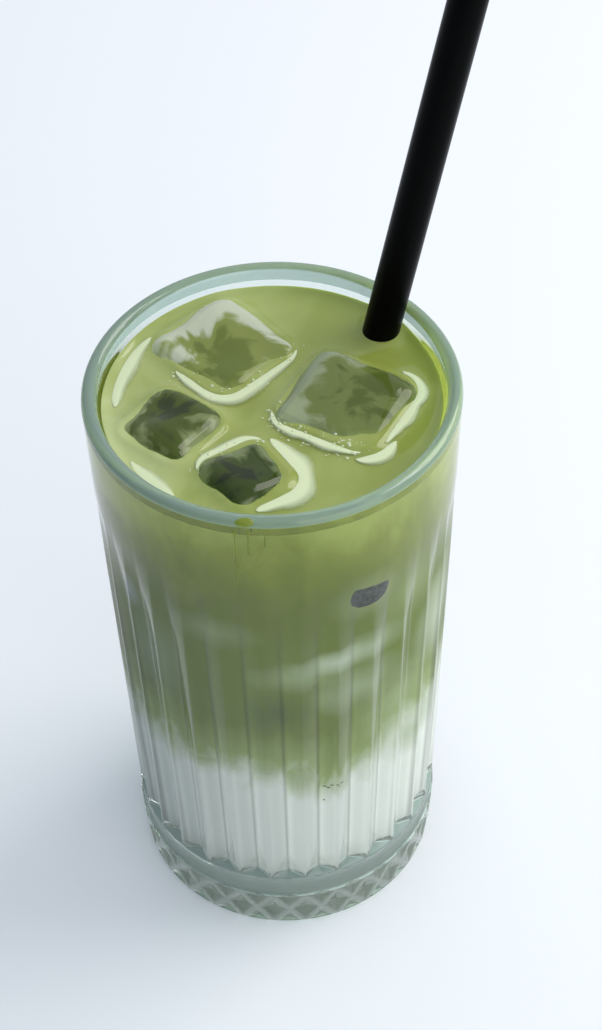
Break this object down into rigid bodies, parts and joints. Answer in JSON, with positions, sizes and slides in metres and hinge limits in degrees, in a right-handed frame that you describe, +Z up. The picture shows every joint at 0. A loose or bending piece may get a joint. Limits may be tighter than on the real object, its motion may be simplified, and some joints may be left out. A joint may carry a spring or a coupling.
{
  "type": "iced matcha latte in a glass",
  "caption": "Tall fluted glass holding an iced matcha latte, pale milk below and green tea above, with ice cubes afloat and a black drinking straw.",
  "frame": {"origin": "centre of the glass's foot, on the surface the glass stands on", "axes": "+Z up along the axis of the glass, +X to the right and +Y away as seen from the front; the straw leans towards +X and +Y"},
  "size_m": [0.0878, 0.0794, 0.2402],
  "materials": {
    "glass": "clear pressed glass, polished, with a faint blue-green tint at the lip",
    "milk": "cold milk, opaque white",
    "matcha": "green tea stirred into milk, opaque, wet",
    "straw": "black plastic, smooth",
    "ice": "clear ice, wet and half melted"
  },
  "bodies": {
    "root": {"glass": "glass", "milk": "milk", "matcha": "matcha", "straw": "straw", "ice_back": "ice", "ice_right": "ice", "ice_left": "ice", "ice_front": "ice"}
  },
  "joints": []
}
